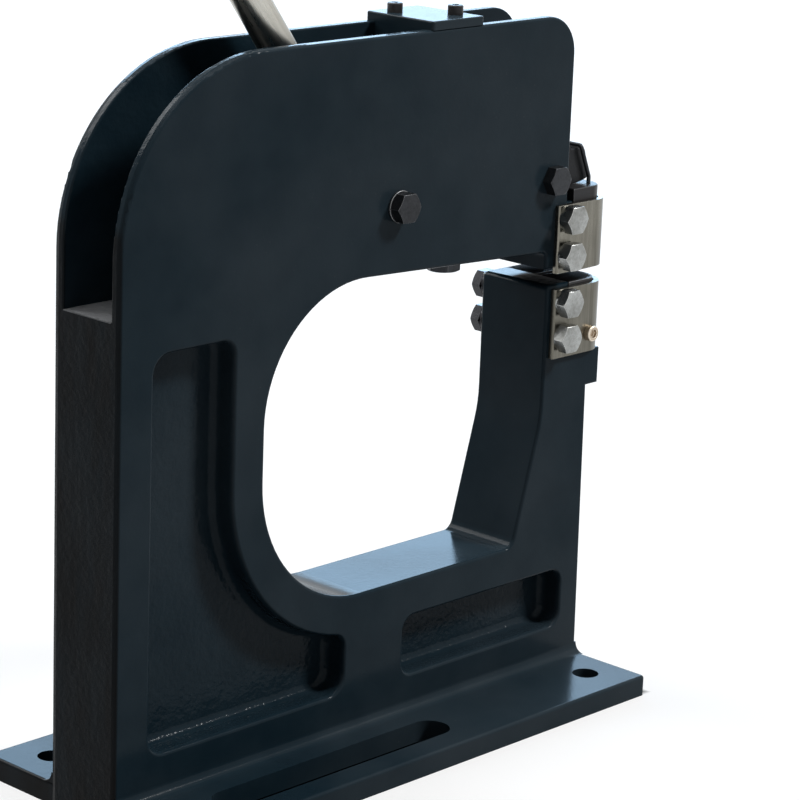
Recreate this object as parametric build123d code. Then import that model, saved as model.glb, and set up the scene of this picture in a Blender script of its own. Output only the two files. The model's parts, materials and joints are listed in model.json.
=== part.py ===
from build123d import *

import os
from math import cos, pi, radians, sin, sqrt, tan

# Deep throat shrinker stretcher: a lever-worked press that gathers or spreads the edge of a steel sheet.
# Millimetres. +Z is up, the jaws are at +X, and the origin is the centre of the base's underside.

# Base flange
BASE_LENGTH = 300.0
BASE_WIDTH = 130.0
BASE_THICK = 10.0
BASE_CORNER_R = 2.0
BASE_HOLE_D = 12.7
BASE_HOLE_X = 130.0
BASE_HOLE_Y = 44.0
BASE_SLOT_WIDTH = 18.0
BASE_SLOT_X = (-112.0, 30.0)
BASE_SLOT_Y = 43.4
BASE_FILLET = 5.0

# Frame casting
FRAME_THICK = 41.0
FRAME_HEIGHT = 326.0
BACK_TOP_R = 80.0
FRONT_TOP_R = 18.0
CHEEK_THICK = 5.5
CHEEK_FRONT_X = 126.5
FRONT_DRAFT = 2.5
EDGE_R = 1.5
LIP_R = 0.8

# Throat and jaw line: eight inches from the throat's back wall to the middle of the jaw casings
THROAT_DEPTH = 203.2
JAW_LINE_X = 136.5
THROAT_FLOOR_Z = 74.3
THROAT_LOW_R = 64.0
THROAT_HIGH_R = 58.5
ARM_UNDER_Z = 222.8
ARM_DROP = 7.2
COLUMN_REAR_X = 115.0
COLUMN_KNEE_Z = 135.0
COLUMN_FOOT_X = 98.5
COLUMN_FOOT_R = 6.0
COLUMN_TOP_Z = 199.2
SHELF_X = 156.0
SHELF_Z = (146.0, 163.7)
NOSE_REAR_X = 113.0
NOSE_FRONT_X = 130.5
NOSE_UNDER_Z = 207.5
NOSE_TOP_Z = 236.0
NOSE_EAR_Z = 238.0

# Slot between the cheeks
SLOT_FLOOR_BACK_Z = 221.0
SLOT_FLOOR_Z = 227.0
SLOT_RAMP_X = (-66.0, -22.0)
BRIDGE_X = (29.0, 62.5)
BRIDGE_UNDER_Z = 300.0

# Side pockets
POCKET_DEPTH = 12.5
POCKET_R = 9.0
POCKET_LOW_R = 7.0
POCKET_FLOOR_R = 4.0
BACK_POCKET_X = (-131.0, -13.5)
BACK_POCKET_Z = (29.0, 205.0)
THROAT_RIM = 18.5
FRONT_POCKET_X = (25.0, 135.5)
FRONT_POCKET_Z = (27.5, 56.0)

# Pivots
MAIN_X = 12.0
FRONT_X = 115.0
PIVOT_Z = 250.0
PIVOT_BOLT_D = 7.9
PIVOT_AF = 12.7
PIVOT_HEAD = 5.4
PIVOT_NUT = 6.7
WASHER_D = 14.6
WASHER_THICK = 1.2
SLEEVE_D = 15.0
BUSH_WALL = 2.0
RUNNING_GAP = 0.05
CLEAR = 0.3

# Handle lever
HANDLE_LEAN = 37.6
HANDLE_TRAVEL = 35.0
HUB_THICK = 26.0
HUB_BOSS_R = 17.0
HUB_NOSE_REACH = 22.5
HUB_NOSE_R = 6.0
HUB_HEEL_REACH = 6.0
HUB_HEEL_R = 8.0
ROD_D = 15.9
ROD_OFFSET = 1.3
ROD_START = 14.0
ROD_END = 470.0
SOCKET_END = 48.0
SOCKET_WIDTH = 28.0
LOCK_NUT_AF = 24.0
LOCK_NUT_THICK = 9.0
GRIP_LENGTH = 115.0
GRIP_D = 30.0
GRIP_END = 6.0

# Rocker
ROCKER_THICK = 24.0
ROCKER_BOSS_R = 13.0
TAIL_LENGTH = 84.0
TAIL_UNDER = -2.0
TAIL_TOP = 10.0
NOSE_REACH = 26.0
NOSE_RISE = 16.0
NOSE_R = 22.0
HOOK_X = (22.0, 28.2)
HOOK_FLOOR = 10.7
HORN_X = (28.9, 32.5)
HORN_TOP = 14.0
HORN_DROP = 5.0
ROCKER_TOP = 17.0

# Jaw casings, ram and jaws
SHEET = 2.5
CASING_X = (118.0, 157.0)
CASING_BEND_R = 12.0
UPPER_CASING_Z = (205.2, 237.5)
LOWER_CASING_Z = (164.0, 197.4)
CASING_BOLT_X = 124.5
UPPER_BOLT_Z = (213.4, 231.0)
LOWER_BOLT_Z = (174.0, 191.0)
CASING_BOLT_D = 7.9
CASING_BOLT_AF = 12.7
CASING_BOLT_HEAD = 5.4
CASING_BOLT_LENGTH = 16.0
CASING_WASHER_D = 12.6
CASING_WASHER_THICK = 1.2
SCREW_X = 144.2
SCREW_Z = 173.0
SCREW_D = 5.0
SCREW_HEAD_D = 7.6
SCREW_HEAD = 3.0
SCREW_LENGTH = 12.0
JAW_X = (131.0, 153.6)
JAW_SIDE_Y = 20.0
JAW_SPLIT = 1.75
JAW_INCLINE = 20.0
UPPER_JAW_Z = 204.0
LOWER_JAW_Z = 199.0
RAM_EAVES_Z = 216.0
WEDGE_VALLEY_Z = 178.0
WIRE_D = 2.0
BAIL_Y = 14.0
BAIL_BEND_R = 1.8
BAIL_FOOT_X = 148.5
BAIL_FOOT_DEPTH = 5.0

# Top plate, stop bolt and return spring
PLATE_THICK = 4.0
PLATE_SCREW_D = 4.0
PLATE_SCREW_HEAD_D = 7.0
PLATE_SCREW_HEAD = 4.4
PLATE_SCREW_LENGTH = 14.0
PLATE_SCREWS = ((36.5, 10.0), (54.5, -10.0))
STOP_X = 64.0
STOP_SEAT_Z = 218.5
STOP_SEAT_D = 20.0
STOP_D = 9.5
STOP_AF = 14.3
STOP_HEAD = 7.8
STOP_NUT = 6.0
SPRING_X = 45.5
SPRING_OD = 18.0
SPRING_WIRE = 2.4
SPRING_TURNS = 9
SPRING_END_CLOSING = 0.6
SPRING_BORE_D = 20.0

# Sizes that follow from those above
HALF = FRAME_THICK / 2
SLOT_HALF = HALF - CHEEK_THICK
THROAT_WALL_X = JAW_LINE_X - THROAT_DEPTH
CASING_Y = HALF + SHEET
JAW_FRONT_R = CASING_BEND_R - SHEET - 0.8
LEAN = radians(HANDLE_LEAN)
ROD_DIR = (-sin(LEAN), cos(LEAN))
ROD_SIDE = (-cos(LEAN), -sin(LEAN))
RAM_TOP_Z = PIVOT_Z + NOSE_RISE - NOSE_R - CLEAR
HUB_NOSE_TOP = TAIL_UNDER - CLEAR
BUSH_OUT_D = SLEEVE_D + 2 * RUNNING_GAP + 2 * BUSH_WALL


def rounded(*corners):
    """Face from (x, y, corner radius) points, in order round its edge."""
    points = [(x, y) for x, y, _ in corners]
    return make_face(FilletPolyline(*points, radius=[r for _, _, r in corners], close=True))


def box_face(x_range, y_range, radius=0.0):
    """Rectangle between two x and two y values, with one corner radius."""
    (x0, x1), (y0, y1) = x_range, y_range
    return rounded((x0, y0, radius), (x1, y0, radius), (x1, y1, radius), (x0, y1, radius))


def upright(face, thick, y=0.0):
    """Plate of an x-z face, centred on y."""
    return Pos(0, y, 0) * extrude(Plane.XZ * face, thick / 2, both=True)


def cross_bar(x, z, diameter, y0, y1):
    """Round bar that runs across the frame from y0 to y1."""
    return Pos(x, (y0 + y1) / 2, z) * Rot(90, 0, 0) * Cylinder(diameter / 2, abs(y1 - y0))


def post(x, y, diameter, z0, z1):
    """Upright round bar from z0 to z1."""
    return Pos(x, y, (z0 + z1) / 2) * Cylinder(diameter / 2, z1 - z0)


def facing(x, y, z, side):
    """Plane at a point whose normal looks out of the frame's side: -1 near, +1 far."""
    return Plane(origin=(x, y, z), x_dir=(1, 0, 0), z_dir=(0, side, 0))


def hexagon(across_flats, thick, turn=0.0):
    """Hexagonal prism standing on z = 0, with its top corners turned off."""
    prism = extrude(RegularPolygon(across_flats / 2, 6, major_radius=False, rotation=turn), thick)
    corner = across_flats / sqrt(3)
    drop = 0.55 * (corner - across_flats / 2)
    blank = Pos(0, 0, thick / 2) * Cylinder(corner, thick)
    blank = chamfer(blank.faces().sort_by(Axis.Z)[-1].edges(), drop, 2 * drop)
    return prism & blank


def hex_bolt(across_flats, head, diameter, length):
    """Bolt whose head stands on z = 0 and whose shank points down."""
    shank = Pos(0, 0, -length / 2) * Cylinder(diameter / 2, length)
    shank = chamfer(shank.faces().sort_by(Axis.Z)[0].edges(), 0.1 * diameter)
    return hexagon(across_flats, head) + shank


def cap_screw(head_d, head, socket_af, diameter, length):
    """Socket head screw whose head stands on z = 0 and whose shank points down."""
    crown = Pos(0, 0, head / 2) * Cylinder(head_d / 2, head)
    crown = chamfer(crown.faces().sort_by(Axis.Z)[-1].edges(), 0.06 * head_d)
    socket = extrude(RegularPolygon(socket_af / 2, 6, major_radius=False), 0.55 * head)
    crown -= Pos(0, 0, 0.45 * head) * socket
    return crown + Pos(0, 0, -length / 2) * Cylinder(diameter / 2, length)


def hex_nut(across_flats, thick, bore):
    """Nut standing on z = 0, with its hole."""
    return hexagon(across_flats, thick) - Pos(0, 0, thick / 2) * Cylinder(bore / 2, thick)


def ring(outer, inner, thick):
    """Flat ring standing on z = 0."""
    return extrude(Circle(outer / 2) - Circle(inner / 2), thick)


def frame_outline():
    """Side view of the C frame: column, arm, throat, noses and shelf."""
    return rounded(
        (-BASE_LENGTH / 2, 0, 0),
        (BASE_LENGTH / 2, 0, 0),
        (BASE_LENGTH / 2 - FRONT_DRAFT, SHELF_Z[0], 0),
        (SHELF_X, SHELF_Z[0], 0),
        (SHELF_X, SHELF_Z[1], 0),
        (NOSE_FRONT_X, SHELF_Z[1], 0),
        (NOSE_FRONT_X, COLUMN_TOP_Z, 0),
        (COLUMN_REAR_X, COLUMN_TOP_Z, 2 * EDGE_R),
        (COLUMN_REAR_X, COLUMN_KNEE_Z, 60),
        (COLUMN_FOOT_X, THROAT_FLOOR_Z, COLUMN_FOOT_R),
        (THROAT_WALL_X, THROAT_FLOOR_Z, THROAT_LOW_R),
        (THROAT_WALL_X, ARM_UNDER_Z, THROAT_HIGH_R),
        (NOSE_REAR_X, ARM_UNDER_Z - ARM_DROP, 2 * EDGE_R),
        (NOSE_REAR_X, NOSE_UNDER_Z, 0),
        (NOSE_FRONT_X, NOSE_UNDER_Z, 0),
        (NOSE_FRONT_X, NOSE_EAR_Z, 0),
        (CHEEK_FRONT_X, NOSE_EAR_Z, 0),
        (CHEEK_FRONT_X, FRAME_HEIGHT, FRONT_TOP_R),
        (-BASE_LENGTH / 2, FRAME_HEIGHT, BACK_TOP_R),
    )


def slot_outline():
    """Side view of the slot between the cheeks, open at back, top and front, under its bridge."""
    back, front, top = -BASE_LENGTH / 2 - 10, CHEEK_FRONT_X + 20, FRAME_HEIGHT + 10
    slot = rounded(
        (back, SLOT_FLOOR_BACK_Z, 0),
        (SLOT_RAMP_X[0], SLOT_FLOOR_BACK_Z, 0),
        (SLOT_RAMP_X[1], SLOT_FLOOR_Z, 0),
        (NOSE_REAR_X - 4, SLOT_FLOOR_Z, 3),
        (NOSE_REAR_X - 1, NOSE_TOP_Z, 0),
        (front, NOSE_TOP_Z, 0),
        (front, top, 0),
        (back, top, 0),
    )
    return slot - box_face(BRIDGE_X, (BRIDGE_UNDER_Z, top))


def back_pocket_outline():
    """Side view of the tall pocket that follows the throat round to the bottom beam."""
    rim_x = THROAT_WALL_X - THROAT_RIM
    rim_z = THROAT_FLOOR_Z - THROAT_RIM
    far = 400.0
    rim_r = THROAT_LOW_R + THROAT_RIM
    rim = rounded((rim_x, rim_z, rim_r), (far, rim_z, 0), (far, far, 0), (rim_x, far, 0))
    pocket = box_face(BACK_POCKET_X, BACK_POCKET_Z, POCKET_R) - rim
    corners = pocket.vertices()
    toe = corners.sort_by_distance((BACK_POCKET_X[1], rim_z))[0]
    head = corners.sort_by_distance((rim_x, BACK_POCKET_Z[1]))[0]
    return fillet([toe, head], POCKET_LOW_R)


def base_flange():
    """Base plate with a round hole near each corner and a long slot along each side."""
    plate = RectangleRounded(BASE_LENGTH, BASE_WIDTH, BASE_CORNER_R)
    holes = GridLocations(2 * BASE_HOLE_X, 2 * BASE_HOLE_Y, 2, 2) * Circle(BASE_HOLE_D / 2)
    slot_length = BASE_SLOT_X[1] - BASE_SLOT_X[0]
    slot = SlotOverall(slot_length, BASE_SLOT_WIDTH)
    slots = [Pos(sum(BASE_SLOT_X) / 2, side * BASE_SLOT_Y) * slot for side in (-1, 1)]
    flange = extrude(plate - holes - slots, BASE_THICK)
    return fillet(flange.faces().sort_by(Axis.Z)[-1].outer_wire().edges(), EDGE_R)


def foot_fillet(side):
    """Hollow fillet where one side of the frame meets the base."""
    width = BASE_FILLET + 2 * EDGE_R
    edge_y, edge_z = side * (HALF + BASE_FILLET), BASE_THICK + BASE_FILLET
    strip = Box(BASE_LENGTH, width, BASE_FILLET)
    strip = Pos(0, edge_y - side * width / 2, edge_z - BASE_FILLET / 2) * strip
    return strip - Pos(0, edge_y, edge_z) * Rot(0, 90, 0) * Cylinder(BASE_FILLET, BASE_LENGTH)


def pocket(outline, side):
    """Cast hollow in one side of the frame, its floor rounded into its walls."""
    block = upright(outline, POCKET_DEPTH, side * (HALF - POCKET_DEPTH / 2))
    floor = block.faces().sort_by(Axis.Y)[0 if side > 0 else -1]
    return fillet(floor.edges(), POCKET_FLOOR_R)


def pocketed_frame():
    """C frame as a thick plate with rounded rims and two pockets in each side."""
    body = upright(frame_outline(), FRAME_THICK)
    rims = body.faces().filter_by(Axis.Y).edges()
    body = fillet([edge for edge in rims if edge.bounding_box().max.Z > BASE_THICK], EDGE_R)
    for outline in (back_pocket_outline(), box_face(FRONT_POCKET_X, FRONT_POCKET_Z, POCKET_LOW_R)):
        body -= [pocket(outline, side) for side in (-1, 1)]
    sides = body.faces().filter_by(Axis.Y).sort_by(SortBy.AREA)[-2:]
    return fillet([edge for side in sides for rim in side.inner_wires() for edge in rim.edges()], EDGE_R)


def on_slot_lip(edge):
    """Whether an edge is an inner rim of a cheek, along the frame's back, top or front."""
    middle, box = edge.center(), edge.bounding_box()
    if box.size.Y > 0.01 or abs(abs(middle.Y) - SLOT_HALF) > 0.01:
        return False
    along_top = abs(box.max.Z - FRAME_HEIGHT) < 0.01 and box.size.X > 0.01
    return along_top or min(abs(middle.X - CHEEK_FRONT_X), abs(middle.X + BASE_LENGTH / 2)) < 0.01


def frame_casting():
    """C frame and base flange, cast in one piece, with its slot and its bolt holes."""
    body = pocketed_frame() - upright(slot_outline(), 2 * SLOT_HALF)
    body = fillet([edge for edge in body.edges() if on_slot_lip(edge)], LIP_R)
    body += [base_flange(), foot_fillet(-1), foot_fillet(1)]
    for x in (MAIN_X, FRONT_X):
        body -= cross_bar(x, PIVOT_Z, PIVOT_BOLT_D + 2 * RUNNING_GAP, -HALF, HALF)
    bottom = HALF - CASING_BOLT_LENGTH
    for z in UPPER_BOLT_Z + LOWER_BOLT_Z:
        for side in (-1, 1):
            hole_d = CASING_BOLT_D + 2 * RUNNING_GAP
            body -= cross_bar(CASING_BOLT_X, z, hole_d, side * HALF, side * bottom)
    body -= post(SPRING_X, 0, SPRING_BORE_D, BRIDGE_UNDER_Z, FRAME_HEIGHT)
    for x, y in PLATE_SCREWS:
        hole_d = PLATE_SCREW_D + 2 * RUNNING_GAP
        body -= post(x, y, hole_d, FRAME_HEIGHT - PLATE_SCREW_LENGTH, FRAME_HEIGHT)
    body -= post(STOP_X, 0, STOP_SEAT_D, NOSE_UNDER_Z, STOP_SEAT_Z)
    return body - post(STOP_X, 0, STOP_D + 2 * RUNNING_GAP, STOP_SEAT_Z, SLOT_FLOOR_Z)


def top_plate():
    """Plate over the bridge that closes the spring's bore."""
    plate = box_face(BRIDGE_X, (-HALF, HALF), EDGE_R)
    for x, y in PLATE_SCREWS:
        plate -= Pos(x, y) * Circle(PLATE_SCREW_D / 2 + RUNNING_GAP)
    plate = Pos(0, 0, FRAME_HEIGHT) * extrude(plate, PLATE_THICK)
    return fillet(plate.faces().sort_by(Axis.Z)[-1].outer_wire().edges(), LIP_R)


def top_plate_screws():
    """Two socket head screws, set on a diagonal."""
    screw = cap_screw(PLATE_SCREW_HEAD_D, PLATE_SCREW_HEAD, 3.0, PLATE_SCREW_D, PLATE_SCREW_LENGTH)
    return [Pos(x, y, FRAME_HEIGHT + PLATE_THICK) * screw for x, y in PLATE_SCREWS]


def pivot_bolt(x, washers):
    """Hexagon bolt through both cheeks, its head on the near side."""
    seat = HALF + washers * WASHER_THICK
    length = 2 * seat + PIVOT_NUT + 2
    return facing(x, -seat, PIVOT_Z, -1) * hex_bolt(PIVOT_AF, PIVOT_HEAD, PIVOT_BOLT_D, length)


def pivot_nut(x, washers):
    """Nut on the far end of a pivot bolt."""
    seat = HALF + washers * WASHER_THICK
    nut = hex_nut(PIVOT_AF, PIVOT_NUT, PIVOT_BOLT_D + 2 * RUNNING_GAP)
    return facing(x, seat, PIVOT_Z, 1) * nut


def main_pivot_washers():
    """Flat washers under the main pivot's head and nut."""
    washer = ring(WASHER_D, PIVOT_BOLT_D + 2 * RUNNING_GAP, WASHER_THICK)
    return [facing(MAIN_X, side * HALF, PIVOT_Z, side) * washer for side in (-1, 1)]


def pivot_sleeve(x):
    """Steel sleeve clamped between the cheeks, on which a lever turns."""
    outer = cross_bar(x, PIVOT_Z, SLEEVE_D, -SLOT_HALF, SLOT_HALF)
    return outer - cross_bar(x, PIVOT_Z, PIVOT_BOLT_D + 2 * RUNNING_GAP, -SLOT_HALF, SLOT_HALF)


def pivot_spacers(x, lever_thick):
    """Two rings beside a lever that keep it in the middle of the slot."""
    gap = SLOT_HALF - lever_thick / 2 - CLEAR
    spacer = ring(SLEEVE_D + 8, SLEEVE_D + 2 * RUNNING_GAP, gap)
    return [facing(x, side * SLOT_HALF, PIVOT_Z, -side) * spacer for side in (-1, 1)]


def pivot_bush(x, lever_thick):
    """Bronze bush pressed into a lever's bore."""
    ends = (-lever_thick / 2, lever_thick / 2)
    bush = cross_bar(x, PIVOT_Z, BUSH_OUT_D, *ends)
    return bush - cross_bar(x, PIVOT_Z, SLEEVE_D + 2 * RUNNING_GAP, *ends)


def along_rod(distance, side=0.0):
    """Point (x, z) at a distance along the handle's axis, and to one side of it."""
    x = MAIN_X + ROD_SIDE[0] * (ROD_OFFSET + side) + ROD_DIR[0] * distance
    z = PIVOT_Z + ROD_SIDE[1] * (ROD_OFFSET + side) + ROD_DIR[1] * distance
    return x, z


def rod_plane(distance):
    """Plane square to the handle's axis, looking along it."""
    x, z = along_rod(distance)
    return Plane(origin=(x, 0, z), x_dir=(0, 1, 0), z_dir=(ROD_DIR[0], 0, ROD_DIR[1]))


def handle_hub():
    """Lever hub: a boss, a nose that lifts the rocker's tail, and a socket for the rod."""
    boss = Pos(MAIN_X, PIVOT_Z) * Circle(HUB_BOSS_R)
    tip = Pos(MAIN_X + HUB_NOSE_REACH, PIVOT_Z + HUB_NOSE_TOP - HUB_NOSE_R) * Circle(HUB_NOSE_R)
    heel = Pos(MAIN_X + HUB_HEEL_REACH, PIVOT_Z + HUB_NOSE_TOP - HUB_HEEL_R) * Circle(HUB_HEEL_R)
    nose = make_hull((tip + heel).edges())
    half = SOCKET_WIDTH / 2
    ends = ((0, -half), (SOCKET_END, -half), (SOCKET_END, half), (0, half))
    socket = make_face(Polyline(*[along_rod(*end) for end in ends], close=True))
    arm = make_hull((boss + socket).edges())
    hub = upright(boss + nose + arm, HUB_THICK)
    hub -= cross_bar(MAIN_X, PIVOT_Z, BUSH_OUT_D, -HUB_THICK / 2, HUB_THICK / 2)
    return hub - extrude(rod_plane(ROD_START) * Circle(ROD_D / 2), SOCKET_END)


def handle_rod():
    """Round steel bar that screws into the hub's socket."""
    return extrude(rod_plane(ROD_START) * Circle(ROD_D / 2), ROD_END - ROD_START)


def handle_lock_nut():
    """Nut on the rod that locks it against the socket, flats towards the cheeks."""
    nut = hexagon(LOCK_NUT_AF, LOCK_NUT_THICK, 30)
    nut -= Pos(0, 0, LOCK_NUT_THICK / 2) * Cylinder(ROD_D / 2, LOCK_NUT_THICK)
    return rod_plane(SOCKET_END) * nut


def handle_grip():
    """Plain sleeve grip with a swelling middle and a closed, rounded end."""
    bore_end = GRIP_LENGTH - GRIP_END
    neck = 0.82 * GRIP_D / 2
    side = ThreePointArc((neck, 0), (GRIP_D / 2, bore_end / 2), (neck, bore_end))
    crown = TangentArc((0, GRIP_LENGTH), (neck, bore_end), tangent=(1, 0))
    bore = Polyline((0, GRIP_LENGTH), (0, bore_end), (ROD_D / 2, bore_end), (ROD_D / 2, 0), (neck, 0))
    section = make_face(side.edges() + crown.edges() + bore.edges())
    return rod_plane(ROD_END - bore_end) * revolve(Plane.XZ * section, Axis.Z)


def on_sole(angle):
    """Point of the nose's round sole at an angle."""
    return NOSE_REACH + NOSE_R * cos(radians(angle)), NOSE_RISE + NOSE_R * sin(radians(angle))


def rocker_outline():
    """Side view of the rocker: tail, boss and nose with its hook for the bail."""
    heel, toe = on_sole(-115), on_sole(-62)
    sole = ThreePointArc(heel, on_sole(-90), toe)
    edge = FilletPolyline(
        toe,
        (HORN_X[1], HORN_TOP - HORN_DROP),
        (HORN_X[0], HORN_TOP),
        (HOOK_X[1], HOOK_FLOOR),
        (HOOK_X[0], HOOK_FLOOR),
        (HOOK_X[0] - 2.5, ROCKER_TOP),
        (6.0, ROCKER_TOP),
        (-ROCKER_BOSS_R, ROCKER_BOSS_R),
        (-TAIL_LENGTH / 2, TAIL_TOP),
        (-TAIL_LENGTH, TAIL_TOP),
        (-TAIL_LENGTH, TAIL_UNDER),
        (0.0, TAIL_UNDER),
        heel,
        radius=[1.5, 1.0, 0.8, 0.8, 1.5, 6.0, 8.0, 8.0, 4.0, 2.0, 0],
    )
    return make_face([sole, edge]) + Circle(ROCKER_BOSS_R)


def rocker_arm():
    """Rocker on the front pivot: its tail is lifted by the hub and its nose presses the ram."""
    rocker = upright(Pos(FRONT_X, PIVOT_Z) * rocker_outline(), ROCKER_THICK)
    return rocker - cross_bar(FRONT_X, PIVOT_Z, BUSH_OUT_D, -ROCKER_THICK / 2, ROCKER_THICK / 2)


def casing(z_range, bolt_heights):
    """U-shaped jaw casing bent from sheet, with two bolt holes in each ear."""
    rear, front = CASING_X
    outer = rounded(
        (rear, -CASING_Y, 1),
        (front, -CASING_Y, CASING_BEND_R),
        (front, CASING_Y, CASING_BEND_R),
        (rear, CASING_Y, 1),
    )
    inside, bend = front - SHEET, CASING_BEND_R - SHEET
    inner = rounded((0, -HALF, 0), (inside, -HALF, bend), (inside, HALF, bend), (0, HALF, 0))
    shell = Pos(0, 0, z_range[0]) * extrude(outer - inner, z_range[1] - z_range[0])
    for z in bolt_heights:
        shell -= cross_bar(CASING_BOLT_X, z, CASING_BOLT_D + 2 * RUNNING_GAP, -CASING_Y, CASING_Y)
    return shell


def lower_casing():
    """Lower casing, with the hole of the screw that holds the wedge."""
    hole = cross_bar(SCREW_X, SCREW_Z, SCREW_D + 2 * RUNNING_GAP, -CASING_Y, -HALF + SHEET)
    return casing(LOWER_CASING_Z, LOWER_BOLT_Z) - hole


def casing_bolts(heights):
    """Hexagon bolts of one casing, two in each ear."""
    bolt = hex_bolt(CASING_BOLT_AF, CASING_BOLT_HEAD, CASING_BOLT_D, CASING_BOLT_LENGTH + SHEET)
    seat = CASING_Y + CASING_WASHER_THICK
    return [facing(CASING_BOLT_X, side * seat, z, side) * bolt for side in (-1, 1) for z in heights]


def casing_washers(heights):
    """Flat washers under one casing's bolts."""
    washer = ring(CASING_WASHER_D, CASING_BOLT_D + 2 * RUNNING_GAP, CASING_WASHER_THICK)
    return [facing(CASING_BOLT_X, side * CASING_Y, z, side) * washer for side in (-1, 1) for z in heights]


def casing_screw():
    """Socket screw through the lower casing's near side into the wedge."""
    screw = cap_screw(SCREW_HEAD_D, SCREW_HEAD, 4.0, SCREW_D, SCREW_LENGTH)
    return facing(SCREW_X, -CASING_Y, SCREW_Z, -1) * screw


def jaw_pocket_prism(z0, z1, inset):
    """Upright block that fills a casing's hollow, smaller by an inset all round."""
    side = HALF - inset
    face = rounded(
        (JAW_X[0], -side, 0),
        (JAW_X[1], -side, JAW_FRONT_R),
        (JAW_X[1], side, JAW_FRONT_R),
        (JAW_X[0], side, 0),
    )
    return Pos(0, 0, z0) * extrude(face, z1 - z0)


def incline_prism(apex_z, drop, sign):
    """Wide prism with a roof (sign 1) or valley (sign -1) line at apex_z, filled downwards."""
    reach = 40.0
    slope = sign * reach * tan(radians(JAW_INCLINE))
    eaves = apex_z - slope
    ridge = [(-reach, eaves), (0, apex_z), (reach, eaves)]
    edge = Polyline(*ridge, (reach, drop), (-reach, drop), close=True)
    return extrude(Plane.YZ * make_face(edge), BASE_LENGTH, both=True)


RAM_APEX_Z = RAM_EAVES_Z + JAW_SIDE_Y * tan(radians(JAW_INCLINE))


def ram_block():
    """Sliding ram: flat top for the rocker, roof-shaped recess below for the upper jaws."""
    block = jaw_pocket_prism(RAM_EAVES_Z - 1, RAM_TOP_Z, CLEAR)
    block = fillet(block.faces().sort_by(Axis.Z)[-1].edges(), LIP_R) - incline_prism(RAM_APEX_Z, 100, 1)
    for side in (-1, 1):
        foot = (RAM_TOP_Z - BAIL_FOOT_DEPTH, RAM_TOP_Z)
        block -= post(BAIL_FOOT_X, side * BAIL_Y, WIRE_D + 2 * RUNNING_GAP, *foot)
    return block


def wire_bail():
    """Bent wire that hooks the ram to the rocker's nose and lifts it."""
    bar_x = FRONT_X + HOOK_X[1] - 1.4
    bar_z = PIVOT_Z + HOOK_FLOOR + 2 * CLEAR + WIRE_D / 2
    knee_z = RAM_TOP_Z + 3.0
    foot_z = RAM_TOP_Z - BAIL_FOOT_DEPTH
    route = [
        (BAIL_FOOT_X, -BAIL_Y, foot_z),
        (BAIL_FOOT_X, -BAIL_Y, knee_z),
        (bar_x, -BAIL_Y, bar_z),
        (bar_x, BAIL_Y, bar_z),
        (BAIL_FOOT_X, BAIL_Y, knee_z),
        (BAIL_FOOT_X, BAIL_Y, foot_z),
    ]
    path = FilletPolyline(*route, radius=BAIL_BEND_R)
    return sweep(Plane(origin=route[0], z_dir=(0, 0, 1)) * Circle(WIRE_D / 2), path)


def lower_wedge():
    """Block on the shelf whose valley carries the lower jaws."""
    roof = WEDGE_VALLEY_Z + HALF
    block = jaw_pocket_prism(SHELF_Z[1], roof, 0.1) & incline_prism(WEDGE_VALLEY_Z, 100, -1)
    return block - cross_bar(SCREW_X, SCREW_Z, SCREW_D + 2 * RUNNING_GAP, -HALF, SCREW_LENGTH - CASING_Y)


def jaw_half(side, upper):
    """One gripping jaw: flat serrated face towards the sheet, sloping back on its seat."""
    reach = HALF + 5
    keep = Pos(0, side * (JAW_SPLIT + reach / 2), 0) * Box(800, reach, 800)
    if upper:
        block = jaw_pocket_prism(UPPER_JAW_Z, RAM_TOP_Z, HALF - JAW_SIDE_Y)
        block &= incline_prism(RAM_APEX_Z - CLEAR, 100, 1)
    else:
        block = jaw_pocket_prism(WEDGE_VALLEY_Z - 5, LOWER_JAW_Z, HALF - JAW_SIDE_Y)
        block -= incline_prism(WEDGE_VALLEY_Z + CLEAR, 100, -1)
    return block & keep


def stop_bolt():
    """Bolt up through the arm whose tip stops the rocker's tail."""
    tip = PIVOT_Z + TAIL_UNDER - CLEAR
    bolt = hex_bolt(STOP_AF, STOP_HEAD, STOP_D, tip - STOP_SEAT_Z)
    return Pos(STOP_X, 0, STOP_SEAT_Z) * Rot(180, 0, 0) * bolt


def stop_lock_nut():
    """Lock nut of the stop bolt, on the slot's floor."""
    return Pos(STOP_X, 0, SLOT_FLOOR_Z) * hex_nut(STOP_AF, STOP_NUT, STOP_D + 2 * RUNNING_GAP)


def spring_point(step):
    """Point and direction on the spring's centre line after some quarter turns."""
    turn = step * pi / 2
    share = turn / (2 * pi * SPRING_TURNS)
    low = PIVOT_Z + TAIL_TOP + CLEAR + SPRING_WIRE / 2
    rise = FRAME_HEIGHT - SPRING_WIRE / 2 - low
    z = low + rise * (share - SPRING_END_CLOSING * sin(2 * pi * share) / (2 * pi))
    climb = rise * (1 - SPRING_END_CLOSING * cos(2 * pi * share)) / (2 * pi * SPRING_TURNS)
    radius = (SPRING_OD - SPRING_WIRE) / 2
    point = Vector(SPRING_X + radius * cos(turn), radius * sin(turn), z)
    return point, Vector(-radius * sin(turn), radius * cos(turn), climb).normalized()


def spring_gap():
    """Least gap of the spring to itself, measured on points three quarters of a turn or more apart."""
    steps = [n / 6 for n in range(24 * SPRING_TURNS + 1)]
    points = [spring_point(step)[0] for step in steps]
    pairs = [(p - q).length for n, p in enumerate(points) for q in points[n + 18 : n + 31]]
    return min(pairs) - SPRING_WIRE


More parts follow.
